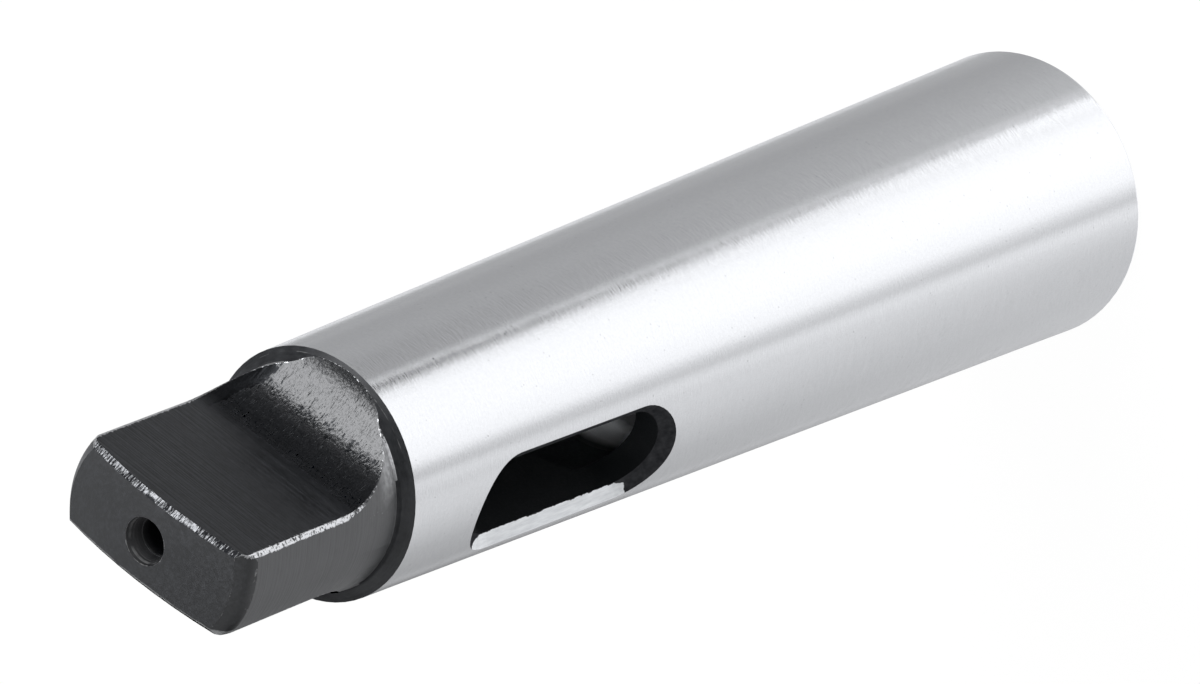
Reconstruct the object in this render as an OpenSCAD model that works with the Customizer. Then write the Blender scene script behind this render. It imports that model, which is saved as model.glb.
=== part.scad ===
// Reducing sleeve for taper shanks: a ground outside taper with a milled tang,
// and a smaller taper socket in the big end. It stands on its big-end face,
// with its axis along Z and the drift slot running through it along X.

/* [Taper] */
// Diameter of the outside taper at its gauge plane
gauge_d = 23.825; // [22:0.005:27]
// Distance from the big-end face to the gauge plane
gauge_inset = 18; // [10:0.5:24]
// Outside taper, as change of diameter per unit of length
outer_taper = 0.0502; // [0.046:0.0001:0.054]
// Distance from the gauge plane to the end of the ground taper
taper_len = 74.8; // [72:0.1:77]
// Distance from the gauge plane to the tip of the tang
shank_len = 94; // [92:0.5:98]
// Rounding of the rim at the big end
rim_r = 0.5; // [0.2:0.05:0.9]

/* [Shoulder] */
// Width of the small chamfer round the shoulder
shoulder_chamfer = 0.38; // [0.2:0.02:0.5]
// Height of that chamfer
shoulder_chamfer_h = 0.22; // [0.1:0.02:0.4]
// Height of the sloping shoulder face above the chamfer
shoulder_h = 0.5; // [0.3:0.05:0.7]
// Radius of the blend between the shoulder and the tang
root_r = 0.5; // [0.3:0.05:0.7]

/* [Tang] */
// Diameter of the turned tang
tang_d = 17.9; // [16.5:0.05:18.2]
// Thickness of the tang across its flats
tang_t = 7.4; // [6:0.05:9]
// Length of the flats, from the tip to where the cutter radius starts
flat_len = 12.1; // [10:0.1:12.6]
// Radius that the cutter leaves at the end of the flats
cutter_r = 7; // [5:0.25:7.5]
// Radius of the domed end face
dome_r = 42; // [34:1:90]
// Radial width of the chamfer round the end face
end_chamfer_w = 0.9; // [0.4:0.05:1.4]
// Length of that chamfer along the axis
end_chamfer_l = 1.8; // [1:0.1:2.6]
// Radius that blends that chamfer into the turned tang
end_blend_r = 1.6; // [0.8:0.1:2.4]
// Bevel between the flats and the end face
end_bevel = 0.36; // [0.15:0.01:0.6]
// Bevel between the flats and the turned sides
side_bevel = 0.24; // [0.1:0.01:0.4]

/* [Centre] */
// Diameter of the centre hole at its mouth
centre_mouth_d = 3.78; // [3.3:0.02:4.8]
// Diameter at the foot of its conical mouth
centre_throat_d = 3.16; // [3.1:0.02:3.3]
// Depth of the conical mouth
centre_mouth_l = 1.5; // [1:0.1:2.5]
// Diameter of the pilot hole
centre_pilot_d = 3; // [1.5:0.05:3.1]
// Depth of the pilot hole, without its drill point
centre_depth = 6; // [4:0.5:9]

/* [Socket] */
// Diameter of the taper socket at its mouth
socket_d = 17.78; // [17:0.005:18.2]
// Socket taper, as change of diameter per unit of length
socket_taper = 0.04995; // [0.046:0.00005:0.054]
// Diameter of the drilled bore behind the taper
relief_d = 14.9; // [14.4:0.05:15.4]
// Depth of the drilled bore, without its drill point
socket_depth = 67; // [64:0.5:70]
// Chamfer round the socket mouth
mouth_chamfer = 0.6; // [0.3:0.05:1]

/* [Slot] */
// Width of the drift slot
slot_w = 7; // [5.5:0.1:7.6]
// Distance from the big-end face to the start of the slot
slot_start = 62.2; // [60:0.1:64]
// Length of the slot
slot_len = 21.7; // [18:0.1:23]
// Width of the bevel round the slot mouths
slot_bevel_w = 1.03; // [0.4:0.01:1.2]
// Depth of that bevel below the taper
slot_bevel_d = 1.03; // [0.4:0.01:1.2]

/* [Hidden] */
$fn = 180;
steel = [0.78, 0.79, 0.80];
oxide = [0.16, 0.17, 0.18];
// Angle of a drill's point
drill_point = 118;
// How far a cutter runs past the face that it cuts
past = 1;

k_out = outer_taper / 2;
tip_z = gauge_inset + shank_len;
taper_z = gauge_inset + taper_len;
tang_r = tang_d / 2;
flat_y = tang_t / 2;
flat_z = tip_z - flat_len;
shoulder_z = taper_z + shoulder_chamfer_h;
root_z = shoulder_z + shoulder_h;

// Radius of the outside taper at a height
function taper_r(z) = gauge_d / 2 + k_out * (gauge_inset - z);
// Height of the domed end face at a radius
function dome_z(r) = tip_z - dome_r + sqrt(dome_r * dome_r - r * r);
// Length of the point that a drill of this diameter leaves
function point_l(d) = d / 2 / tan(drill_point / 2);

// Ground taper, with its rim rounded at the big end
module ground_taper() {
    lean = atan(k_out);
    centre_x = taper_r(rim_r) - rim_r / cos(lean);
    color(steel)
    rotate_extrude() {
        polygon([
            [0, 0],
            [centre_x, 0],
            [centre_x + rim_r * cos(lean), rim_r + rim_r * sin(lean)],
            [taper_r(taper_z), taper_z],
            [0, taper_z]
        ]);
        translate([centre_x, rim_r]) circle(r = rim_r);
    }
}

// Turned blank of shoulder and tang, before milling
module tang_blank() {
    face_r = taper_r(taper_z) - shoulder_chamfer;
    slope = atan2(shoulder_h, face_r - tang_r);
    blend_z = root_z + root_r * (1 - sin(slope)) / cos(slope);
    edge_r = tang_r - end_chamfer_w;
    edge_z = dome_z(edge_r);
    chamfer_z = tip_z - end_chamfer_l;
    turn = atan2(end_chamfer_w, edge_z - chamfer_z);
    tangent = end_blend_r * tan(turn / 2);
    color(oxide)
    rotate_extrude() intersection() {
        difference() {
            union() {
                polygon([
                    [0, taper_z],
                    [taper_r(taper_z), taper_z],
                    [face_r, shoulder_z],
                    [tang_r + root_r * (1 - sin(slope)), blend_z - root_r * cos(slope)],
                    [tang_r, blend_z],
                    [tang_r, chamfer_z - tangent],
                    [tang_r - tangent * sin(turn), chamfer_z + tangent * cos(turn)],
                    [edge_r, edge_z],
                    [edge_r, tip_z + past],
                    [0, tip_z + past]
                ]);
                translate([tang_r - end_blend_r, chamfer_z - tangent]) circle(r = end_blend_r);
            }
            translate([tang_r + root_r, blend_z]) circle(r = root_r);
        }
        translate([0, tip_z - dome_r]) circle(r = dome_r);
    }
}

// Path of the cutter that mills one flat, running out in its own radius
module flat_cut() {
    reach = taper_r(0);
    rotate([90, 0, 90])
    linear_extrude(height = 2 * reach, center = true) {
        translate([flat_y, flat_z]) square([reach, flat_len + past]);
        translate([flat_y + cutter_r, flat_z]) circle(r = cutter_r);
        translate([flat_y + cutter_r, flat_z - cutter_r]) square([reach, flat_len]);
    }
}

// Bevel along the curved edge between one flat and the domed end face
module end_bevel_cut() {
    rim = sqrt(dome_r * dome_r - flat_y * flat_y);
    intersection() {
        translate([0, 0, tip_z - dome_r]) rotate([-90, 0, 0])
        rotate_extrude() polygon([
            [rim - end_bevel - past, flat_y + past],
            [rim + past, flat_y - end_bevel - past],
            [rim + past, flat_y + past]
        ]);
        translate([-tang_d, 0, flat_z]) cube([2 * tang_d, tang_d, flat_len + past]);
    }
}

// The edge between flat and turned side at a height, as [x, y]
function side_edge(z) =
    let (drop = max(0, flat_z - z))
    let (y = flat_y + cutter_r - sqrt(cutter_r * cutter_r - drop * drop))
    [sqrt(tang_r * tang_r - y * y), y];

// One section of the bevel along that edge: two points on the bevel, one outside
function side_section(z, leg) =
    let (e = side_edge(z))
    let (a = atan2(e[1], e[0]) - leg / tang_r * 180 / PI)
    let (p = [e[0] - leg, e[1]])
    let (q = [tang_r * cos(a), tang_r * sin(a)])
    let (u = (q - p) / norm(q - p))
    [[p[0] - u[0] * 0.2, p[1] - u[1] * 0.2, z], [q[0] + u[0] * 0.2, q[1] + u[1] * 0.2, z],
     [e[0] - u[1] * 0.5, e[1] + u[0] * 0.5, z]];

// Bevel along one long edge of the tang, fading where the flat runs out
module side_bevel_cut() {
    steps = 16;
    fade_z = root_z + 1;
    heights = concat([for (i = [0:steps]) fade_z + (flat_z - fade_z) * i / steps], [tip_z + past]);
    legs = concat([for (i = [0:steps]) side_bevel * (i + 2) / (steps + 2)], [side_bevel]);
    n = len(heights);
    polyhedron(
        points = [for (i = [0:n - 1]) each side_section(heights[i], legs[i])],
        faces = concat(
            [[0, 1, 2], [3 * n - 1, 3 * n - 2, 3 * n - 3]],
            [for (i = [0:n - 2], j = [0:2]) [3 * i + j, 3 * i + 3 + j, 3 * i + (j + 1) % 3]],
            [for (i = [0:n - 2], j = [0:2]) [3 * i + 3 + j, 3 * i + 3 + (j + 1) % 3, 3 * i + (j + 1) % 3]]
        )
    );
}

// Centre hole in the end of the tang
module centre_hole() {
    mouth_z = dome_z(centre_mouth_d / 2);
    throat_z = mouth_z - centre_mouth_l;
    pilot_z = mouth_z - centre_depth;
    flare = (centre_mouth_d - centre_throat_d) / 2 / centre_mouth_l;
    rotate_extrude() polygon([
        [0, tip_z + past],
        [centre_mouth_d / 2 + flare * (tip_z + past - mouth_z), tip_z + past],
        [centre_throat_d / 2, throat_z],
        [centre_pilot_d / 2, throat_z],
        [centre_pilot_d / 2, pilot_z],
        [0, pilot_z - point_l(centre_pilot_d)]
    ]);
}

// Taper socket with the drilled bore behind it
module socket() {
    mouth_r = (socket_d - socket_taper * mouth_chamfer) / 2;
    relief_z = (socket_d - relief_d) / socket_taper;
    rotate_extrude() polygon([
        [0, -past],
        [mouth_r + mouth_chamfer + past, -past],
        [mouth_r, mouth_chamfer],
        [relief_d / 2, relief_z],
        [relief_d / 2, socket_depth],
        [0, socket_depth + point_l(relief_d)]
    ]);
}

// Point i of the slot's outline, grown outwards by a distance, as [y, z]
function slot_point(i, arc_steps, grow) =
    let (r = slot_w / 2 + grow)
    let (far = i <= arc_steps)
    let (a = 180 * (far ? i : i - 1) / arc_steps)
    [r * cos(a), (far ? slot_start + slot_len - slot_w / 2 : slot_start + slot_w / 2) + r * sin(a)];

// Height of the taper's surface over a point [y, z] of the slot, along X
function surface_x(p) = sqrt(pow(taper_r(p[1]), 2) - p[0] * p[0]);

// Point i of the bevel, on the line from the slot's wall to the taper's surface
function bevel_point(i, arc_steps, grow) =
    let (wall_x = surface_x(slot_point(i, arc_steps, 0)) - slot_bevel_d)
    let (rim_x = surface_x(slot_point(i, arc_steps, slot_bevel_w)))
    let (p = slot_point(i, arc_steps, grow))
    [wall_x + (rim_x - wall_x) * grow / slot_bevel_w, p[0], p[1]];

// Bevel round one mouth of the slot, following the curve of the taper
module slot_bevel() {
    arc_steps = 24;
    n = 2 * arc_steps + 2;
    inner = [for (i = [0:n - 1]) bevel_point(i, arc_steps, -slot_bevel_w / 4)];
    outer = [for (i = [0:n - 1]) bevel_point(i, arc_steps, slot_bevel_w * 1.4)];
    mid_z = slot_start + slot_len / 2;
    polyhedron(
        points = concat(inner, outer, [[inner[0][0], 0, mid_z], [taper_r(0) + past, 0, mid_z]]),
        faces = [for (i = [0:n - 1]) let (j = (i + 1) % n) each [
            [i, j, 2 * n],
            [j, i, n + i],
            [j, n + i, n + j],
            [n + j, n + i, 2 * n + 1]
        ]]
    );
}

// Drift slot through both walls, with its two bevelled mouths
module drift_slot() {
    reach = 2 * taper_r(0) + 2 * past;
    rotate([90, 0, 90])
    linear_extrude(height = reach, center = true) {
        translate([-slot_w / 2, slot_start + slot_w / 2]) square([slot_w, slot_len - slot_w]);
        translate([0, slot_start + slot_w / 2]) circle(d = slot_w);
        translate([0, slot_start + slot_len - slot_w / 2]) circle(d = slot_w);
    }
    slot_bevel();
    mirror([1, 0, 0]) slot_bevel();
}

// The whole sleeve, one piece of steel
module sleeve() {
    difference() {
        union() {
            ground_taper();
            tang_blank();
        }
        for (side = [0, 1]) mirror([0, side, 0]) {
            flat_cut();
            end_bevel_cut();
            side_bevel_cut();
            mirror([1, 0, 0]) side_bevel_cut();
        }
        centre_hole();
        socket();
        drift_slot();
    }
}

sleeve();
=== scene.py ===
import math
import bpy
from mathutils import Matrix, Vector

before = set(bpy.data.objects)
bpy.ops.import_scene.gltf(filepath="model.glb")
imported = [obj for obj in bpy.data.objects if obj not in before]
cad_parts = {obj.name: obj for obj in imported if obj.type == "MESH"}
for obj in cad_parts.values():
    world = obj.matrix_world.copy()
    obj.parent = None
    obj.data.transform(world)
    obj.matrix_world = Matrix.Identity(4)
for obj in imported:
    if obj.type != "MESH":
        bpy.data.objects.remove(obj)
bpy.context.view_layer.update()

# Sizes of the sleeve in millimetres, as in its drawing. The axis is Z, the big end at 0.
MM = 0.001
GAUGE_R, GAUGE_Z = 11.9125, 18
TAPER = 0.0251  # change of the outside radius for each unit of length
TAPER_END_Z = 92.8
SHOULDER_EDGE_R = 10.04  # where the taper ends
SHOULDER_R, SHOULDER_Z = 9.655, 93.02  # the corner of chamfer and sloping face
SHOULDER_SLOPE, SHOULDER_COS = 0.709, 0.816
ROOT_LOW_Z, ROOT_Z = 93.52, 93.78
ROOT_POLISHED_Y = 4.4
TANG_R, TANG_HALF, TIP_Z = 8.95, 3.7, 112
FLAT_Z, CUTTER_R = 99.9, 7
DOME_R = 42
CHAMFER_W, CHAMFER_L, CHAMFER_BLEND_L = 0.9, 1.8, 1.8
END_EDGE_Y, LOW_END_EDGE_Y, END_STROKES_Y = TANG_HALF - 0.3, 3.26, 3.12  # edges and wear by the end bevels
SLOT_HALF, SLOT_LOW, SLOT_HIGH = 3.5, 62.2, 83.9
STRIP_LOW, STRIP_HIGH = 64.1, 83.0  # the part of the slot's bevel that is dressed bright
SOCKET_R, SOCKET_TAPER, SOCKET_END_Z = 8.89, 0.024975, 57.66
MOUTH_CHAMFER, RIM_TOP = 0.7, 0.55
HOLE_R = 1.89


# ---------------------------------------------------------------- camera
def place_camera():
    """Camera at the place from which the photograph was taken."""
    data = bpy.data.cameras.new("camera")
    data.sensor_width = 36
    data.lens = 223.817
    data.clip_start, data.clip_end = 0.01, 20
    camera = bpy.data.objects.new("camera", data)
    bpy.context.scene.collection.objects.link(camera)
    right = Vector((0.7274865, 0.3018590, -0.6161530))
    up = Vector((-0.5404877, 0.8053085, -0.2436211))
    back = Vector((0.4226540, 0.5102542, 0.7490022))
    turn = Matrix((right, up, back)).transposed().to_4x4()
    camera.matrix_world = Matrix.Translation((0.2480109, 0.3014836, 0.4981947)) @ turn
    bpy.context.scene.camera = camera


# ---------------------------------------------------------------- node helpers
# Each value that these take is a number or a socket to link, and each gives an output socket.
def join(tree, socket, given):
    """Puts a number or colour in a socket, or links another socket to it."""
    if isinstance(given, bpy.types.NodeSocket):
        tree.links.new(given, socket)
    else:
        socket.default_value = given


def math_node(tree, operation, *values, kind="ShaderNodeMath"):
    """A Math node."""
    node = tree.nodes.new(kind)
    node.operation = operation
    for socket, value in zip(node.inputs, values):
        join(tree, socket, value)
    return node.outputs[0]


def vector_node(tree, operation, *values):
    """A Vector Math node."""
    return math_node(tree, operation, *values, kind="ShaderNodeVectorMath")


def chain(tree, operation, values):
    """One Math operation over all the values, from the first to the last."""
    total = values[0]
    for value in values[1:]:
        total = math_node(tree, operation, total, value)
    return total


def add(tree, *values):
    """The sum of the values."""
    return chain(tree, "ADD", values)


def times(tree, *values):
    """The product of the values."""
    return chain(tree, "MULTIPLY", values)


def largest(tree, *values):
    """The largest of the values."""
    return chain(tree, "MAXIMUM", values)


def minus(tree, first, second):
    """The first value less the second."""
    return math_node(tree, "SUBTRACT", first, second)


def without_sign(tree, value):
    """The value without its sign."""
    return math_node(tree, "ABSOLUTE", value)


def apart(tree, first, second):
    """How far two values are apart."""
    return without_sign(tree, minus(tree, first, second))


def length(tree, u, v):
    """Length of a line that runs u one way and v square to it."""
    return math_node(tree, "SQRT", add(tree, times(tree, u, u), times(tree, v, v)))


def weighted(tree, *parts):
    """The sum of values, each given with its weight."""
    return add(tree, *[times(tree, value, weight) for value, weight in parts])


def map_range(tree, value, low, high, out_low, out_high):
    """A clamped Map Range from low..high to out_low..out_high."""
    node = tree.nodes.new("ShaderNodeMapRange")
    labels = ("Value", "From Min", "From Max", "To Min", "To Max")
    for label, given in zip(labels, (value, low, high, out_low, out_high)):
        join(tree, node.inputs[label], given)
    return node.outputs["Result"]


def spread(tree, value, low, high):
    """low where the value is 0, high where it is 1."""
    return map_range(tree, value, 0.0, 1.0, low, high)


def fade(tree, value, start, full, share=1.0):
    """0 until the value reaches start, and share from full on. full may lie on either side."""
    return map_range(tree, value, start, full, 0.0, share)


def zone(tree, *limits):
    """1 where every value is past its limit. Each limit is a value, and where it starts and is full."""
    return times(tree, *[fade(tree, *limit) for limit in limits])


def mix_value(tree, share, first, second):
    """first where share is 0, second where it is 1."""
    node = tree.nodes.new("ShaderNodeMix")
    for label, given in (("Factor", share), ("A", first), ("B", second)):
        join(tree, node.inputs[label], given)
    return node.outputs["Result"]


def mix_colour(tree, share, first, second):
    """A colour that is first where share is 0 and second where it is 1."""
    node = tree.nodes.new("ShaderNodeMix")
    node.data_type = "RGBA"
    join(tree, node.inputs["Factor"], share)
    sockets = [socket for socket in node.inputs if socket.type == "RGBA"]
    for socket, given in zip(sockets, (first, second)):
        join(tree, socket, given + (1,) if isinstance(given, tuple) else given)
    return [socket for socket in node.outputs if socket.type == "RGBA"][0]


def mix_shader(tree, share, first, second):
    """A shader that is first where share is 0 and second where it is 1."""
    node = tree.nodes.new("ShaderNodeMixShader")
    for socket, given in zip(node.inputs, (share, first, second)):
        join(tree, socket, given)
    return node.outputs["Shader"]


def split_xyz(tree, vector):
    """The X, Y and Z of a vector."""
    node = tree.nodes.new("ShaderNodeSeparateXYZ")
    tree.links.new(vector, node.inputs["Vector"])
    return node.outputs["X"], node.outputs["Y"], node.outputs["Z"]


def own_place(tree):
    """The point that is shaded, in the sleeve's own frame and in metres."""
    return tree.nodes.new("ShaderNodeTexCoord").outputs["Object"]


def empty_tree(owner):
    """The cleared node tree of a material or a world."""
    owner.use_nodes = True
    owner.node_tree.nodes.clear()
    return owner.node_tree


def new_group(name, inputs, outputs, kind="NodeSocketFloat"):
    """An empty node group, its inputs named with their defaults and its outputs of one kind."""
    tree = bpy.data.node_groups.new(name, "ShaderNodeTree")
    for label, default in inputs:
        given = "NodeSocketVector" if isinstance(default, tuple) else "NodeSocketFloat"
        tree.interface.new_socket(label, in_out="INPUT", socket_type=given).default_value = default
    for label in outputs:
        tree.interface.new_socket(label, in_out="OUTPUT", socket_type=kind)
    return tree, tree.nodes.new("NodeGroupInput").outputs, tree.nodes.new("NodeGroupOutput").inputs


# ---------------------------------------------------------------- effects that several finishes share
THOUSAND = (1000.0, 1000.0, 1000.0)
NOISE_LOW, NOISE_HIGH = 0.25, 0.75  # between these lies nearly all of Blender's noise


def make_sleeve_places():
    """How deep a point lies under each machined surface of the sleeve, in millimetres."""
    labels = ("X", "Y", "Z", "Radius", "Under milling", "Under skin", "Under blank", "Under end")
    tree, _, out = new_group("sleeve_places", [], labels)
    x, y, z = [times(tree, part, 1000.0) for part in split_xyz(tree, own_place(tree))]
    radius = length(tree, x, y)
    out_of_cutter = minus(tree, TANG_HALF + CUTTER_R, without_sign(tree, y))
    below_flat = math_node(tree, "MINIMUM", minus(tree, z, FLAT_Z), 0.0)
    milling = minus(tree, length(tree, out_of_cutter, below_flat), CUTTER_R)
    skin = minus(tree, TANG_R, radius)
    slope_foot = SHOULDER_Z + SHOULDER_SLOPE * SHOULDER_R
    slope_z = math_node(tree, "MULTIPLY_ADD", radius, -SHOULDER_SLOPE, slope_foot)
    shoulder = times(tree, minus(tree, slope_z, z), SHOULDER_COS)
    end = minus(tree, DOME_R, length(tree, x, minus(tree, z, TIP_Z - DOME_R)))
    depths = (x, y, z, radius, milling, skin, largest(tree, skin, shoulder), end)
    for label, depth in zip(labels, depths):
        tree.links.new(depth, out[label])
    return tree


def noise(tree, dimensions, where, place, roughness):
    """Noise of one grain to the unit, stretched to fill 0 to 1. where is the input that place goes to."""
    node = tree.nodes.new("ShaderNodeTexNoise")
    node.noise_dimensions = dimensions
    for label, given in (("Scale", 1.0), ("Detail", 2.0), ("Roughness", roughness), (where, place)):
        join(tree, node.inputs[label], given)
    return fade(tree, node.outputs["Fac"], NOISE_LOW, NOISE_HIGH)


def make_streaks():
    """Noise drawn out into streaks. Grain is how many grains fit in a millimetre along X, Y and Z."""
    tree, given, out = new_group("streaks", [("Grain", (1.0, 1.0, 1.0)), ("Shift", 0.0)], ["Value"])
    scaled = vector_node(tree, "MULTIPLY", own_place(tree), given["Grain"])
    place = vector_node(tree, "MULTIPLY_ADD", scaled, THOUSAND, given["Shift"])
    tree.links.new(noise(tree, "3D", "Vector", place, 0.6), out["Value"])
    return tree


def make_tool_lines():
    """Parallel lines that a tool leaves, across which the value Across runs in millimetres."""
    inputs = [("Across", 0.0), ("Pitch", 0.2), ("Shift", 0.0)]
    tree, given, out = new_group("tool_lines", inputs, ["Height"])
    line = add(tree, math_node(tree, "DIVIDE", given["Across"], given["Pitch"]), given["Shift"])
    tree.links.new(noise(tree, "1D", "W", line, 0.65), out["Height"])
    return tree


def make_edge_wear():
    """Where a finish is rubbed off within Width of an edge, made Ragged by a Streak from 0 to 1."""
    inputs = [("Distance", 0.0), ("Width", 0.1), ("Ragged", 0.1), ("Streak", 0.5), ("Soft", 0.03)]
    tree, given, out = new_group("edge_wear", inputs, ["Mask"])
    swing = times(tree, minus(tree, given["Streak"], 0.5), given["Ragged"], 2.0)
    left = minus(tree, add(tree, given["Width"], swing), given["Distance"])
    tree.links.new(fade(tree, left, 0.0, given["Soft"]), out["Mask"])
    return tree


def make_specks():
    """Sparse specks: Size in millimetres, and Amount from 0 to 1."""
    tree, given, out = new_group("specks", [("Size", 0.3), ("Amount", 0.1), ("Shift", 0.0)], ["Mask"])
    cells = tree.nodes.new("ShaderNodeTexVoronoi")
    cells.feature = "F1"
    join(tree, cells.inputs["Scale"], math_node(tree, "DIVIDE", 0.4, given["Size"]))
    place = vector_node(tree, "MULTIPLY_ADD", own_place(tree), THOUSAND, given["Shift"])
    join(tree, cells.inputs["Vector"], place)
    draw = tree.nodes.new("ShaderNodeSeparateColor")
    tree.links.new(cells.outputs["Color"], draw.inputs["Color"])
    chosen = math_node(tree, "LESS_THAN", draw.outputs["Red"], given["Amount"])
    dot = fade(tree, cells.outputs["Distance"], 0.3, 0.12)
    tree.links.new(times(tree, chosen, dot), out["Mask"])
    return tree


def make_turned_normal():
    """The true normal of a cone round the axis, from its taper, finer than the mesh has it."""
    tree, given, out = new_group("turned_normal", [("Taper", 0.0)], ["Normal"], "NodeSocketVector")
    x, y, _ = split_xyz(tree, own_place(tree))
    lean = tree.nodes.new("ShaderNodeCombineXYZ")
    parts = (x, y, times(tree, length(tree, x, y), given["Taper"]))
    for socket, part in zip(lean.inputs, parts):
        tree.links.new(part, socket)
    tree.links.new(vector_node(tree, "NORMALIZE", lean.outputs[0]), out["Normal"])
    return tree


GROUP_MAKERS = {"places": make_sleeve_places, "streaks": make_streaks, "tool_lines": make_tool_lines,
                "edge_wear": make_edge_wear, "specks": make_specks, "turned_normal": make_turned_normal}
GROUPS = {}


def effect(tree, name, **values):
    """Places one of the shared effects in a material's tree and gives its outputs."""
    if name not in GROUPS:
        GROUPS[name] = GROUP_MAKERS[name]()
    node = tree.nodes.new("ShaderNodeGroup")
    node.node_tree = GROUPS[name]
    for label, given in values.items():
        join(tree, node.inputs[label], given)
    return node.outputs


def streaks(tree, grain, shift=0.0):
    """Streaks from 0 to 1. grain is one number, or one each for X, Y and Z."""
    grain = grain if isinstance(grain, tuple) else (grain, grain, grain)
    return effect(tree, "streaks", Grain=grain, Shift=shift)["Value"]


def tool_lines(tree, across, pitch, shift=0.0):
    """Tool lines from 0 to 1, which follow each other along the value across."""
    return effect(tree, "tool_lines", Across=across, Pitch=pitch, Shift=shift)["Height"]


def worn_edge(tree, distance, width, ragged, streak, soft):
    """Mask of an edge that is rubbed off, all lengths in millimetres."""
    return effect(tree, "edge_wear", Distance=distance, Width=width, Ragged=ragged, Streak=streak,
                  Soft=soft)["Mask"]


def specks(tree, size, amount, shift=0.0):
    """Mask of sparse specks."""
    return effect(tree, "specks", Size=size, Amount=amount, Shift=shift)["Mask"]


# ---------------------------------------------------------------- finishes
# X times Y tells the two pairs of opposite corners of the tang, or sides of the slot, apart.
# Colours, each pair from dark to light.
GROUND_DARK, GROUND_LIGHT = (0.825, 0.83, 0.84), (0.915, 0.92, 0.93)
GROUND_SPECK = (0.45, 0.45, 0.46)
FACED_DARK, FACED_LIGHT = (0.62, 0.625, 0.635), (0.8, 0.805, 0.815)
REAMED_DARK, REAMED_LIGHT = (0.66, 0.665, 0.67), (0.92, 0.925, 0.93)
# The dark that the socket's taper is given by the bore and, as a painted shade, further in.
INSIDE_DARK = (0.01, 0.01, 0.011)
BORE_DARK, BORE_LIGHT = (0.0034, 0.0046, 0.0056), (0.0060, 0.0075, 0.0088)
OXIDE, OXIDE_PALE = (0.0028, 0.0035, 0.0048), (0.0310, 0.0330, 0.0378)
TURNED_PALE, SHOULDER_PALE = (0.052, 0.054, 0.058), (0.047, 0.049, 0.053)
HOLE_PALE = (0.075, 0.076, 0.079)
SLOT_OXIDE, SLOT_OXIDE_PALE = (0.030, 0.031, 0.035), (0.078, 0.080, 0.086)
DRESSED_DARK, DRESSED_LIGHT = (0.74, 0.755, 0.765), (0.95, 0.965, 0.97)
# The last is a darker copy of worn steel, a painted shade.
WORN_STEEL, DULL_STEEL, PAINTED_SHADE_STEEL = (0.70, 0.705, 0.715), (0.50, 0.505, 0.51), (0.33, 0.335, 0.345)
SEED_BEVEL_TEETH, SEED_END_HATCH, SEED_LIP = 21.0, 23.0, 41.0  # marks that run on from face to face


def lay_finish(tree, shader, colour, metallic, roughness, height, gloss=1.5, normal=None):
    """Sets how a surface looks. height is in millimetres, over the mesh's own normal or the given one."""
    join(tree, shader.inputs["Base Color"], colour)
    join(tree, shader.inputs["Metallic"], metallic)
    join(tree, shader.inputs["Roughness"], roughness)
    shader.inputs["IOR"].default_value = gloss
    bump = tree.nodes.new("ShaderNodeBump")
    bump.inputs["Strength"].default_value = 1.0
    bump.inputs["Distance"].default_value = MM
    tree.links.new(height, bump.inputs["Height"])
    if normal:
        tree.links.new(normal, bump.inputs["Normal"])
    tree.links.new(bump.outputs["Normal"], shader.inputs["Normal"])


def lay_oxide(tree, shader, worn, height, tone, roughness, gloss, pale=OXIDE_PALE, steel=WORN_STEEL,
              steel_roughness=0.33, metallic=None):
    """Black oxide, paler where tone is 1, over steel that shows where worn is 1."""
    colour = mix_colour(tree, worn, mix_colour(tree, tone, OXIDE, pale), steel)
    roughness = mix_value(tree, worn, roughness, steel_roughness)
    lay_finish(tree, shader, colour, metallic or worn, roughness, height, gloss)


def ground_finish(tree, shader, normal=None):
    """Ground steel: fine grooves round the axis, and a few faint specks."""
    shader.inputs["Anisotropic"].default_value = 0.8
    shader.inputs["Anisotropic Rotation"].default_value = 0.25
    fine = streaks(tree, (1.6, 1.6, 8.0))
    broad = streaks(tree, (0.25, 0.25, 1.6), 7.0)
    strokes = streaks(tree, (1.1, 1.1, 4.6), 71.0)
    grit = streaks(tree, 4.6, 73.0)
    spots = specks(tree, size=0.14, amount=0.03)
    tone = weighted(tree, (fine, 0.2), (grit, 0.6), (broad, 0.2))
    plain = mix_colour(tree, tone, GROUND_DARK, GROUND_LIGHT)
    colour = mix_colour(tree, times(tree, spots, 0.35), plain, GROUND_SPECK)
    height = weighted(tree, (fine, 0.0035), (strokes, 0.0024), (grit, 0.0006), (spots, -0.004))
    lay_finish(tree, shader, colour, 1.0, spread(tree, broad, 0.14, 0.19), height, normal=normal)


def ground_steel(tree, shader):
    """The ground taper."""
    ground_finish(tree, shader, effect(tree, "turned_normal", Taper=TAPER)["Normal"])


def rim_steel(tree, shader):
    """The rounded rim of the big end, ground with the taper."""
    ground_finish(tree, shader)


def faced_steel(tree, shader):
    """The big end, turned square: rings round the axis."""
    rings = tool_lines(tree, effect(tree, "places")["Radius"], pitch=0.11)
    broad = streaks(tree, 0.5, 3.0)
    tone = weighted(tree, (rings, 0.6), (broad, 0.4))
    roughness = map_range(tree, rings, 0.3, 0.7, 0.24, 0.38)
    colour = mix_colour(tree, tone, FACED_DARK, FACED_LIGHT)
    lay_finish(tree, shader, colour, 1.0, roughness, times(tree, rings, 0.006))


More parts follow.
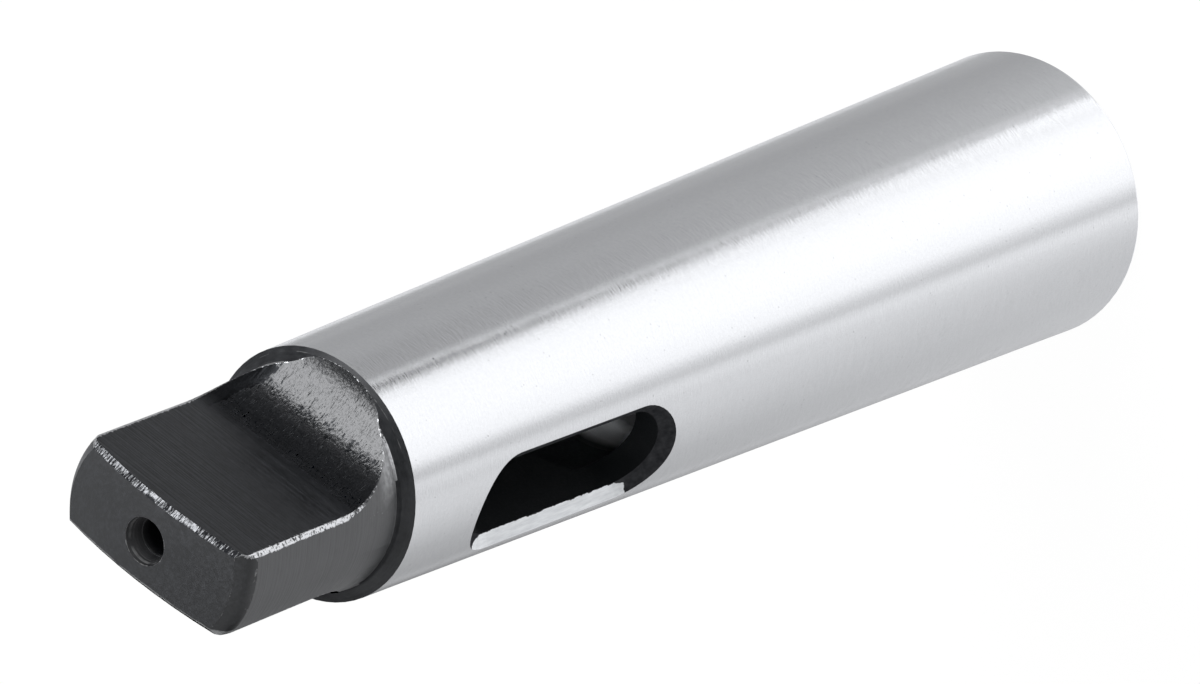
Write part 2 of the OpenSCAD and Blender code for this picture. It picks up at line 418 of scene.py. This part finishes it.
def reamed_steel(tree, shader):
    """The socket's reamed taper: rings and a slightly stained grey, made darker by the bore and, as a painted
    shade, further in.
    """
    height_z = effect(tree, "places")["Z"]
    rings = tool_lines(tree, height_z, pitch=0.16)
    stain = streaks(tree, 0.3, 11.0)
    steel = mix_colour(tree, weighted(tree, (rings, 0.3), (stain, 0.6)), REAMED_DARK, REAMED_LIGHT)
    # Darker just before the bore's end; between Z 36 and 52.5 mm a painted shade, so that only a lit patch of
    # the taper shows by the bore.
    by_bore = fade(tree, add(tree, height_z, times(tree, stain, 0.8)), 55.9, 57.4, 0.97)
    painted_deep_shade = fade(tree, minus(tree, height_z, stain), 52.5, 51.0, 0.92)
    painted_deep_shade = times(tree, painted_deep_shade, fade(tree, height_z, 36.0, 44.0))
    colour = mix_colour(tree, largest(tree, by_bore, painted_deep_shade), steel, INSIDE_DARK)
    lay_finish(tree, shader, colour, 1.0, spread(tree, stain, 0.28, 0.42), times(tree, rings, 0.004))


def bore_black(tree, shader):
    """Slot walls and relief bore: dull black oxide in which little light is left."""
    cloud = streaks(tree, 0.5, 5.0)
    fine = streaks(tree, 4.0, 2.0)
    colour = mix_colour(tree, cloud, BORE_DARK, BORE_LIGHT)
    lay_finish(tree, shader, colour, 0.0, spread(tree, fine, 0.5, 0.7), times(tree, fine, 0.006), gloss=1.35)


def flat_edge_wear(tree, at, distance, shift):
    """The rubbed edge along the flat, which thins to a broken line where it follows the milled fillet."""
    fillet_end_z = 96.0
    width = fade(tree, at["Z"], fillet_end_z, FLAT_Z, 0.26)
    ragged = map_range(tree, at["Z"], fillet_end_z, FLAT_Z, 0.09, 0.14)
    teeth = streaks(tree, (3.2, 3.2, 4.2), shift)
    return worn_edge(tree, without_sign(tree, distance), width, ragged, teeth, soft=0.04)


def turned_oxide(tree, shader):
    """The tang's turned side and its root: faint lines, and bare steel laid as painted highlights, a faint
    sheen by the milled edges and a bright wedge beside the milled fillet.
    """
    at = effect(tree, "places")
    lines = tool_lines(tree, at["Z"], pitch=0.22)
    fine = streaks(tree, (0.9, 0.9, 7.0), 4.0)
    cloud = streaks(tree, (0.45, 0.45, 0.9), 9.0)
    edge = flat_edge_wear(tree, at, at["Under milling"], SEED_BEVEL_TEETH)
    near_root = zone(tree, (at["Z"], 93.4, 93.6), (at["Z"], 97.5, 95.0), (at["Under milling"], 3.5, 1.5))
    spots = times(tree, specks(tree, size=0.13, amount=0.25, shift=3.0), near_root, 0.4)
    # Painted highlights: bare steel where the tang shows a sheen near the milled edges and a bright wedge by
    # the root.
    painted_sheen = times(tree, zone(tree, (at["Z"], 99.0, 95.0), (at["Under milling"], 4.5, 1.0)), 0.09)
    highlight_wedge = times(tree, zone(tree, (at["Z"], 95.6, 94.2), (at["Under milling"], 2.1, 0.8)), 0.62)
    uneven = spread(tree, streaks(tree, (2.2, 2.2, 3.5), 61.0), 0.55, 1.35)
    highlight_steel = times(tree, add(tree, painted_sheen, highlight_wedge), uneven)
    tone = weighted(tree, (cloud, 0.4), (fine, 0.55), (lines, 0.75))
    height = weighted(tree, (lines, 0.006), (fine, 0.003), (edge, -0.004))
    lay_oxide(tree, shader, largest(tree, edge, spots, highlight_steel), height, tone,
              spread(tree, fine, 0.30, 0.42), gloss=1.95, pale=TURNED_PALE)


def shoulder_oxide(tree, shader):
    """The turned shoulder and its chamfer: rings round the axis, rubbed a little at the outer edge, and a thin
    line of steel along the corner only where Y is over 5 mm.
    """
    at = effect(tree, "places")
    rings = tool_lines(tree, at["Radius"], pitch=0.16)
    fine = streaks(tree, (1.2, 1.2, 5.0), 14.0)
    cloud = streaks(tree, 0.5, 15.0)
    to_edge = minus(tree, SHOULDER_EDGE_R, at["Radius"])
    edge = worn_edge(tree, to_edge, width=0.02, ragged=0.12, streak=streaks(tree, 1.3, 16.0), soft=0.15)
    to_corner = apart(tree, SHOULDER_R, at["Radius"])
    corner = worn_edge(tree, to_corner, width=0.02, ragged=0.06, streak=streaks(tree, 1.0, 18.0), soft=0.06)
    # A thin line of steel along the corner, only where Y is over 5 mm.
    corner = times(tree, corner, fade(tree, at["Y"], 5.0, 7.0, 0.24))
    lay_oxide(tree, shader, largest(tree, times(tree, edge, 0.08), corner), times(tree, rings, 0.006),
              weighted(tree, (cloud, 0.5), (fine, 0.4)), spread(tree, fine, 0.30, 0.40),
              gloss=1.3, pale=SHOULDER_PALE)


def milled_oxide(tree, shader):
    """The flats and their fillets: lines across the flat, strokes of the cutter's sweep, and painted shade,
    black patches at the fillet's far end and dark specks along the lower edge of its highlight.
    """
    at = effect(tree, "places")
    x, z, from_shoulder = at["X"], at["Z"], at["Under blank"]
    lines = tool_lines(tree, z, pitch=0.24)
    across = streaks(tree, (0.35, 5.0, 5.0), 6.0)
    sweep = streaks(tree, (4.5, 0.7, 0.7), 13.0)
    fine_sweep = streaks(tree, (11.0, 1.6, 1.6), 31.0)
    mottle = streaks(tree, (5.0, 3.5, 3.5), 27.0)
    cloud = streaks(tree, 0.4, 17.0)
    grain = streaks(tree, (1.5, 4.0, 4.0), 67.0)
    in_fillet = fade(tree, z, FLAT_Z - 0.6, FLAT_Z - 2.2)
    edge = flat_edge_wear(tree, at, from_shoulder, 25.0)

    scratched = fade(tree, mix_value(tree, 0.5, sweep, fine_sweep), 0.62, 0.76, 0.4)
    by_shoulder = worn_edge(tree, from_shoulder, width=0.16, ragged=0.5, streak=fine_sweep, soft=0.15)
    by_shoulder = times(tree, by_shoulder, zone(tree, (x, -3.6, -2.0), (x, 4.0, 2.8)))
    far_corner = zone(tree, (x, -4.8, -6.2), (from_shoulder, 1.5, 0.5))
    far_end = add(tree, fade(tree, x, -6.6, -7.6), far_corner)
    dull_end = times(tree, fade(tree, far_end, 0.0, 1.0), map_range(tree, sweep, 0.1, 0.6, 0.4, 1.0))
    dull = largest(tree, scratched, by_shoulder, dull_end)
    roughness = mix_value(tree, in_fillet, spread(tree, across, 0.29, 0.5), dull)

    # Painted shade: the fillet's far end and specks along the lower edge of its highlight turn metallic with
    # the darkest oxide colour, so they reflect almost nothing.
    shade_fringe = times(tree, fade(tree, z, 93.9, 94.8, 0.27), fade(tree, z, 96.0, 95.2))
    ragged = weighted(tree, (sweep, 0.4), (fine_sweep, 0.3), (mottle, 0.5))
    shade_reach = add(tree, far_end, shade_fringe, ragged, -0.6)
    painted_shade = times(tree, in_fillet, fade(tree, shade_reach, 0.30, 0.40, 0.78))

    tone = add(tree, weighted(tree, (cloud, 0.2), (across, 0.45), (lines, 0.6), (grain, 0.5)), -0.5)
    tone = times(tree, tone, spread(tree, in_fillet, 1.0, 0.35), minus(tree, 1.0, painted_shade))
    flat_height = weighted(tree, (lines, 0.009), (across, 0.003))
    fillet_height = weighted(tree, (sweep, 0.013), (fine_sweep, 0.008), (mottle, 0.012))
    height = mix_value(tree, in_fillet, flat_height, fillet_height)
    lay_oxide(tree, shader, edge, height, tone, spread(tree, roughness, 0.15, 0.85), gloss=1.62,
              metallic=largest(tree, edge, painted_shade))


def faced_oxide(tree, shader):
    """The tang's domed end and its chamfers, with thin rubbed lines along their edges."""
    at = effect(tree, "places")
    radius, from_middle = at["Radius"], without_sign(tree, at["Y"])
    fine = streaks(tree, 3.0, 8.0)
    cloud = streaks(tree, 0.35, 19.0)
    rings = tool_lines(tree, radius, pitch=0.28)
    to_lip = apart(tree, radius, HOLE_R)
    lip = worn_edge(tree, to_lip, width=0.0, ragged=0.07, streak=streaks(tree, 1.5, SEED_LIP), soft=0.05)
    to_chamfer = math_node(tree, "MINIMUM", apart(tree, radius, TANG_R - CHAMFER_W),
                           without_sign(tree, at["Under skin"]))
    line = worn_edge(tree, to_chamfer, width=-0.01, ragged=0.1, streak=streaks(tree, 2.0, 45.0), soft=0.06)
    rubbed_corner = fade(tree, times(tree, at["X"], at["Y"]), -23.0, -29.0)
    flat_edge = worn_edge(tree, minus(tree, END_EDGE_Y, from_middle),
                          width=mix_value(tree, rubbed_corner, -0.12, 0.62), ragged=0.25,
                          streak=streaks(tree, (6.0, 1.6, 1.6), SEED_END_HATCH), soft=0.12)
    low_edge = worn_edge(tree, minus(tree, LOW_END_EDGE_Y, from_middle), width=0.07, ragged=0.07,
                         streak=streaks(tree, 1.0, 49.0), soft=0.09)
    low_edge = times(tree, low_edge, fade(tree, at["Y"], -2.9, -3.1), 0.55)
    worn = largest(tree, lip, times(tree, flat_edge, 0.85), low_edge, times(tree, line, 0.5))
    tone = add(tree, weighted(tree, (cloud, 0.35), (fine, 0.7), (rings, 0.25)), -0.55)
    lay_oxide(tree, shader, worn, times(tree, fine, 0.007), tone, spread(tree, fine, 0.36, 0.48),
              gloss=1.7, steel=DULL_STEEL, steel_roughness=0.42)


def worn_end_bevel(tree, shader):
    """The bevel between flat and end: fine hatched strokes of steel square to it, over black, the steel
    painted darker where Y is over 0, a painted shade.
    """
    at = effect(tree, "places")
    hatch = streaks(tree, (6.5, 0.8, 0.8), SEED_END_HATCH)
    fine = streaks(tree, (13.0, 2.5, 2.5), 29.0)
    patch = streaks(tree, 0.5, 37.0)
    mixed = weighted(tree, (hatch, 0.4), (fine, 0.4), (patch, 0.3))
    faded = fade(tree, times(tree, at["X"], at["Y"]), 12.0, 30.0, 0.16)
    strokes = fade(tree, minus(tree, mixed, faded), 0.45, 0.62)
    edge_y = add(tree, END_STROKES_Y, times(tree, patch, 0.42), times(tree, fine, -0.12))
    worn = times(tree, strokes, fade(tree, minus(tree, without_sign(tree, at["Y"]), edge_y), 0.0, 0.12))
    # Painted shade: a darker copy of the worn steel on the bevel where Y is over 0.
    steel = mix_colour(tree, fade(tree, at["Y"], 1.0, -1.0), PAINTED_SHADE_STEEL, WORN_STEEL)
    lay_oxide(tree, shader, worn, times(tree, mixed, -0.012), patch, spread(tree, fine, 0.40, 0.50),
              gloss=1.2, steel=steel, steel_roughness=0.45)


def worn_side_bevel(tree, shader):
    """The bevel along the flat's long edges: rubbed bright, with dark teeth."""
    teeth = streaks(tree, (3.2, 3.2, 4.2), SEED_BEVEL_TEETH)
    fine = streaks(tree, (6.0, 6.0, 9.0), 33.0)
    mixed = weighted(tree, (teeth, 0.55), (fine, 0.45))
    low = map_range(tree, effect(tree, "places")["Z"], 96.5, FLAT_Z, 0.55, 0.33)
    worn = fade(tree, mixed, low, add(tree, low, 0.15))
    lay_oxide(tree, shader, worn, times(tree, mixed, -0.016), fine, spread(tree, fine, 0.35, 0.45), gloss=1.7)


def slot_bevel_oxide(tree, shader):
    """The slot's bevel: black, with a bright dressed strip along one long edge of each mouth."""
    at = effect(tree, "places")
    past_strip = minus(tree, apart(tree, at["Z"], (STRIP_LOW + STRIP_HIGH) / 2), (STRIP_HIGH - STRIP_LOW) / 2)
    strip = worn_edge(tree, past_strip, width=0.0, ragged=0.12, streak=streaks(tree, 3.0, 43.0), soft=0.06)
    on_strip_side = math_node(tree, "LESS_THAN", times(tree, at["X"], at["Y"]), -10.0)
    past_wall = minus(tree, without_sign(tree, at["Y"]), SLOT_HALF)
    scallop = worn_edge(tree, 0.0, width=past_wall, ragged=0.1, streak=streaks(tree, (1.0, 1.0, 1.5), 47.0),
                        soft=0.04)
    dressed = times(tree, strip, on_strip_side, scallop)
    fine = streaks(tree, (4.0, 4.0, 0.7), 53.0)
    coat = mix_colour(tree, streaks(tree, 1.6, 59.0), SLOT_OXIDE, SLOT_OXIDE_PALE)
    colour = mix_colour(tree, dressed, coat, mix_colour(tree, fine, DRESSED_DARK, DRESSED_LIGHT))
    roughness = mix_value(tree, dressed, 0.5, spread(tree, fine, 0.3, 0.42))
    lay_finish(tree, shader, colour, dressed, roughness, times(tree, fine, 0.006), gloss=1.02)


def centre_hole_oxide(tree, shader):
    """The centre hole: rings that its drill left and a rubbed lip, with painted light: its oxide is paler on
    the lit side and fades to dark deeper in, a painted shade, and arcs of steel are painted highlights.
    """
    at = effect(tree, "places")
    rings = tool_lines(tree, at["Z"], pitch=0.45)
    highlight_arcs = tool_lines(tree, at["Z"], pitch=0.42, shift=5.0)
    patch = streaks(tree, (0.55, 0.55, 0.3), 51.0)
    # Painted shade: the oxide's paler tone and the steel arcs fade out deeper in the hole.
    painted_depth_fade = map_range(tree, at["Z"], 109.6, 111.2, 0.06, 1.0)
    lip = worn_edge(tree, at["Under end"], width=0.06, ragged=0.09, streak=streaks(tree, 1.5, SEED_LIP),
                    soft=0.05)
    # Painted highlights: arcs of steel on the countersink.
    highlight_arcs = times(tree, map_range(tree, highlight_arcs, 0.55, 0.9, 0.01, 0.4), fade(tree, patch, 0.45, 0.8))
    worn = largest(tree, times(tree, lip, 0.75), times(tree, highlight_arcs, painted_depth_fade))
    # Painted light: paler oxide on the side towards -X.
    painted_lit_side = fade(tree, at["X"], 0.4, -1.2, 0.8)
    tone = times(tree, painted_depth_fade, add(tree, weighted(tree, (rings, 0.15), (patch, 0.5)), painted_lit_side))
    lay_oxide(tree, shader, worn, times(tree, rings, 0.012), tone, spread(tree, rings, 0.3, 0.42),
              gloss=1.4, pale=HOLE_PALE)


FINISHES = (ground_steel, rim_steel, faced_steel, reamed_steel, bore_black, turned_oxide, shoulder_oxide,
            milled_oxide, faced_oxide, worn_end_bevel, worn_side_bevel, slot_bevel_oxide, centre_hole_oxide)


def make_material(finish):
    """The material of a finish, named after the function that lays it."""
    material = bpy.data.materials.new(finish.__name__)
    tree = empty_tree(material)
    shader = tree.nodes.new("ShaderNodeBsdfPrincipled")
    out = tree.nodes.new("ShaderNodeOutputMaterial")
    tree.links.new(shader.outputs["BSDF"], out.inputs["Surface"])
    finish(tree, shader)
    return material


# ---------------------------------------------------------------- which finish a face has
# How near a face's corners lie to the surface it belongs to, and how far off those of a bevel may lie.
NEAR, END_BEVEL_REACH, SIDE_BEVEL_REACH = 0.012, 0.55, 0.3


def over_taper(c):
    """Height of a corner over the ground taper."""
    return math.hypot(c.x, c.y) - (GAUGE_R + TAPER * (GAUGE_Z - c.z))


def over_socket(c):
    """Height of a corner over the socket's taper."""
    return math.hypot(c.x, c.y) - (SOCKET_R - SOCKET_TAPER * c.z)


def over_turning(c):
    """Height of a corner over the turned side of the tang."""
    return math.hypot(c.x, c.y) - TANG_R


def under_milling(c):
    """Depth of a corner under the flats and their fillets."""
    return math.hypot(TANG_HALF + CUTTER_R - abs(c.y), min(c.z - FLAT_Z, 0)) - CUTTER_R


def under_end(c):
    """Depth of a corner under the domed end."""
    return DOME_R - math.hypot(c.x, c.z - (TIP_Z - DOME_R))


def outside_slot(c):
    """Distance of a corner outside the slot's outline, negative inside it."""
    middle = min(max(c.z, SLOT_LOW + SLOT_HALF), SLOT_HIGH - SLOT_HALF)
    return math.hypot(c.y, c.z - middle) - SLOT_HALF


def lies_on(corners, surface, reach=NEAR):
    """Whether all the corners lie within reach of a surface."""
    return all(abs(surface(c)) < reach for c in corners)


def tang_finish(corners, normal):
    """Which finish a face above the ground taper and the shoulder has."""
    low, high = min(c.z for c in corners), max(c.z for c in corners)
    if lies_on(corners, under_milling):
        return milled_oxide
    if max(math.hypot(c.x, c.y) for c in corners) < HOLE_R + NEAR and not lies_on(corners, under_end):
        return centre_hole_oxide
    by_flat = min(abs(c.y) for c in corners) > TANG_HALF - 0.5
    between_flat_and_end = 0.3 < normal.z < 0.9 and abs(normal.y) > 0.4
    if lies_on(corners, under_end, END_BEVEL_REACH) and by_flat and between_flat_and_end:
        return worn_end_bevel
    if lies_on(corners, under_end):
        return faced_oxide
    if lies_on(corners, over_turning):
        return turned_oxide
    beside_flat = all(lies_on(corners, surface, SIDE_BEVEL_REACH) for surface in (under_milling, over_turning))
    if beside_flat and high < TIP_Z - 0.5 and abs(normal.z) < 0.6:
        return worn_side_bevel
    return faced_oxide if low > TIP_Z - CHAMFER_L - CHAMFER_BLEND_L else turned_oxide


def body_finish(corners):
    """Which finish a face between the big end and the end of the ground taper has."""
    high = max(c.z for c in corners)
    radii = [math.hypot(c.x, c.y) for c in corners]
    in_mouth = high < MOUTH_CHAMFER and max(radii) < SOCKET_R + MOUTH_CHAMFER
    if high < NEAR or in_mouth:
        return faced_steel
    if high < RIM_TOP:
        return rim_steel
    if lies_on(corners, over_socket) and high < SOCKET_END_Z + NEAR:
        return reamed_steel
    past_slot = [outside_slot(c) for c in corners]
    if min(radii) > SOCKET_R and min(past_slot) > -NEAR and max(past_slot) > NEAR:
        return slot_bevel_oxide
    return bore_black


def finish_of(corners, normal):
    """Which finish a face of the sleeve has: the machined surface that all its corners lie on."""
    low, high = min(c.z for c in corners), max(c.z for c in corners)
    if lies_on(corners, over_taper) and high < TAPER_END_Z + NEAR:
        return ground_steel
    polished_root = low > ROOT_LOW_Z - NEAR and min(abs(c.y) for c in corners) > ROOT_POLISHED_Y
    on_tang = lies_on(corners, under_milling) or lies_on(corners, over_turning)
    if low > TAPER_END_Z - NEAR and high < ROOT_Z + NEAR and not polished_root and not on_tang:
        return shoulder_oxide
    if low > TAPER_END_Z + NEAR:
        return tang_finish(corners, normal)
    return turned_oxide if high > TAPER_END_Z + NEAR else body_finish(corners)


def dress_sleeve():
    """Gives each face of the CAD sleeve its finish."""
    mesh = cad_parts["sleeve"].data
    mesh.materials.clear()
    for finish in FINISHES:
        mesh.materials.append(make_material(finish))
    for face in mesh.polygons:
        corners = [mesh.vertices[i].co / MM for i in face.vertices]
        face.material_index = FINISHES.index(finish_of(corners, face.normal))


# ---------------------------------------------------------------- studio
# Each row is an azimuth in degrees, the level of light that the ground steel shows from there, and how
# much of it is lost for each degree that a reflection rises.
STUDIO_ZONES = [
    (-180, 0.467, -0.006), (-170, 0.399, 0.021), (-160, 0.428, 0.025), (-150, 0.933, -0.031),
    (-110, 0.319, 0.192), (-100, 0.564, 0.035), (-85, 0.480, 0.089), (-70, 0.501, 0.061),
    (-55, 0.520, 0.042), (-38, 0.578, 0.000), (-20, 0.679, -0.018), (-8, 0.787, 0.003),
    (2, 0.837, 0.042), (8, 0.790, 0.013), (13, 0.662, -0.014), (16, 0.746, 0.039),
    (20, 0.750, 0.037), (24, 0.924, 0.019), (29, 1.078, 0.010), (36, 1.117, 0.008),
    (50, 1.187, 0.013), (70, 1.189, 0.011), (82, 1.142, 0.003), (91, 0.950, 0.002),
    (96, 0.648, 0.123), (98, 0.727, 0.246), (100, 1.136, 0.145), (104, 0.836, -0.021),
    (110, 0.478, 0.047), (125, 0.475, 0.050), (145, 0.438, 0.020), (165, 0.391, 0.008)]
# A ramp holds 0 to 1, so levels are divided by the largest, and losses, some below 0, are raised first.
LEVEL_TOP, LOSS_TOP, LOSS_RAISE = 1.5, 0.5, 0.1
# Levels of light in the other zones that reflections see.
HIGH_LEVEL, HIGH_SIDE_LEVEL, ROOT_LEVEL, SHOULDER_LEVEL = 0.42, 0.66, 1.5, 1.6
GAP_LEVEL, BOX_LEVEL, BELOW_LEVEL = 0.09, 7.0, 0.95
ZONE_TINT, ROOM_TINT = (0.985, 0.995, 1.02), (0.8, 0.8, 0.8)
ROOM_SEEN, ROOM_LIGHT = 1.0, 0.5


def ramp_by_azimuth(tree, turn, rows, top):
    """A ramp round the horizon through rows of azimuth and value, none of them above top."""
    ramp = tree.nodes.new("ShaderNodeValToRGB")
    elements = ramp.color_ramp.elements
    for i, (azimuth, value) in enumerate(rows):
        place = azimuth / 360 + 0.5
        stop = elements[i] if i < 2 else elements.new(place)
        stop.position = place
    for stop, (azimuth, value) in zip(elements, rows):
        stop.color = (value / top, value / top, value / top, 1)
    tree.links.new(turn, ramp.inputs["Fac"])
    return times(tree, ramp.outputs["Color"], top)


def low_light(tree, turn, elevation):
    """Light that the ground taper reflects, from below the horizon."""
    rise = map_range(tree, elevation, -62, -32, -15, 15)
    level = ramp_by_azimuth(tree, turn, [(row[0], row[1]) for row in STUDIO_ZONES], LEVEL_TOP)
    loss = ramp_by_azimuth(tree, turn, [(row[0], row[2] + LOSS_RAISE) for row in STUDIO_ZONES], LOSS_TOP)
    lost = times(tree, minus(tree, loss, LOSS_RAISE), rise)
    return times(tree, level, minus(tree, 1.0, lost))


def high_light(tree, turn, elevation, x, y, z):
    """Light that the tang reflects, from above: dim, with a bright side for its root and its shoulder."""
    over_end = zone(tree, (turn, 0.03, 0.10), (turn, 0.30, 0.20))
    over_root = zone(tree, (turn, 0.55, 0.58), (turn, 0.67, 0.63), (elevation, 36, 26))
    above_chamfer = minus(tree, times(tree, z, 1.2), x)
    over_shoulder = zone(tree, (above_chamfer, -0.05, 0.12), (y, 0.20, -0.04), (x, 0.05, 0.20))
    end_level = map_range(tree, x, -0.64, -0.15, HIGH_SIDE_LEVEL, HIGH_LEVEL)
    light = mix_value(tree, over_end, HIGH_LEVEL, end_level)
    light = mix_value(tree, over_root, light, ROOT_LEVEL)
    return mix_value(tree, over_shoulder, light, SHOULDER_LEVEL)


def zone_light(tree, direction):
    """The light and dark zones of the studio, as reflections see them."""
    around = tree.nodes.new("ShaderNodeTexGradient")
    around.gradient_type = "RADIAL"
    tree.links.new(direction, around.inputs["Vector"])
    turn = around.outputs["Fac"]
    x, y, z = split_xyz(tree, direction)
    elevation = times(tree, math_node(tree, "ARCSINE", z), 180 / math.pi)
    high_share = fade(tree, elevation, -14, 6)
    light = mix_value(tree, high_share, low_light(tree, turn, elevation),
                      high_light(tree, turn, elevation, x, y, z))
    gap = zone(tree, (turn, 0.782, 0.806), (turn, 0.878, 0.84), (elevation, -44, -34), (elevation, 20, 12))
    soft_box = zone(tree, (x, -0.70, -0.62), (x, -0.14, -0.22), (y, -0.15, 0.10), (z, 0.515, 0.555))
    below = fade(tree, elevation, -66, -78)
    for share, level in ((gap, GAP_LEVEL), (soft_box, BOX_LEVEL), (below, BELOW_LEVEL)):
        light = mix_value(tree, share, light, level)
    return light


def background(tree, colour, strength):
    """A Background shader."""
    node = tree.nodes.new("ShaderNodeBackground")
    node.inputs["Color"].default_value = colour + (1,)
    join(tree, node.inputs["Strength"], strength)
    return node.outputs["Background"]


def studio_world():
    """Pale room for the camera, a plain level of light, and the studio's zones in reflections."""
    world = bpy.data.worlds.new("studio")
    bpy.context.scene.world = world
    tree = empty_tree(world)
    direction = tree.nodes.new("ShaderNodeTexCoord").outputs["Generated"]
    path = tree.nodes.new("ShaderNodeLightPath").outputs
    zones = background(tree, ZONE_TINT, zone_light(tree, direction))
    plain = background(tree, ROOM_TINT, ROOM_LIGHT)
    room = background(tree, ROOM_TINT, ROOM_SEEN)
    lit = mix_shader(tree, path["Is Glossy Ray"], plain, zones)
    out = tree.nodes.new("ShaderNodeOutputWorld")
    tree.links.new(mix_shader(tree, path["Is Camera Ray"], lit, room), out.inputs["Surface"])


def floor_white():
    """Floor paint that glows for the camera, keeps a soft shadow, and is clear from underneath."""
    material = bpy.data.materials.new("floor_white")
    tree = empty_tree(material)
    paint = tree.nodes.new("ShaderNodeBsdfDiffuse")
    paint.inputs["Color"].default_value = (0.9, 0.9, 0.9, 1)
    glow = tree.nodes.new("ShaderNodeEmission")
    glow.inputs["Strength"].default_value = 1.06
    clear = tree.nodes.new("ShaderNodeBsdfTransparent")
    to_camera = tree.nodes.new("ShaderNodeLightPath").outputs["Is Camera Ray"]
    back = tree.nodes.new("ShaderNodeNewGeometry").outputs["Backfacing"]
    top = mix_shader(tree, times(tree, to_camera, 0.9), paint.outputs["BSDF"], glow.outputs["Emission"])
    whole = mix_shader(tree, times(tree, back, to_camera), top, clear.outputs["BSDF"])
    out = tree.nodes.new("ShaderNodeOutputMaterial")
    tree.links.new(whole, out.inputs["Surface"])
    return material


def studio_floor():
    """Plain pale floor just under the sleeve."""
    mesh = bpy.data.meshes.new("floor")
    half, low = 3.0, -0.1 * MM
    corners = [(-half, -half, low), (half, -half, low), (half, half, low), (-half, half, low)]
    mesh.from_pydata(corners, [], [(0, 1, 2, 3)])
    mesh.materials.append(floor_white())
    floor = bpy.data.objects.new("floor", mesh)
    bpy.context.scene.collection.objects.link(floor)
    floor.visible_glossy = False


def key_lamp():
    """A square soft lamp over the sleeve, aimed at its tang and kept out of reflections."""
    place, aim = Vector((-0.30, 0.42, 0.62)), Vector((0, 0, 0.1))
    data = bpy.data.lights.new("key_lamp", "AREA")
    data.shape = "SQUARE"
    data.size = 0.5
    data.energy = 2.6
    lamp = bpy.data.objects.new("key_lamp", data)
    bpy.context.scene.collection.objects.link(lamp)
    lamp.location = place
    lamp.rotation_mode = "QUATERNION"
    lamp.rotation_quaternion = (aim - place).to_track_quat("-Z", "Y")
    lamp.visible_camera = lamp.visible_glossy = False


bpy.context.scene.view_settings.view_transform = "Standard"
place_camera()
studio_world()
studio_floor()
key_lamp()
dress_sleeve()
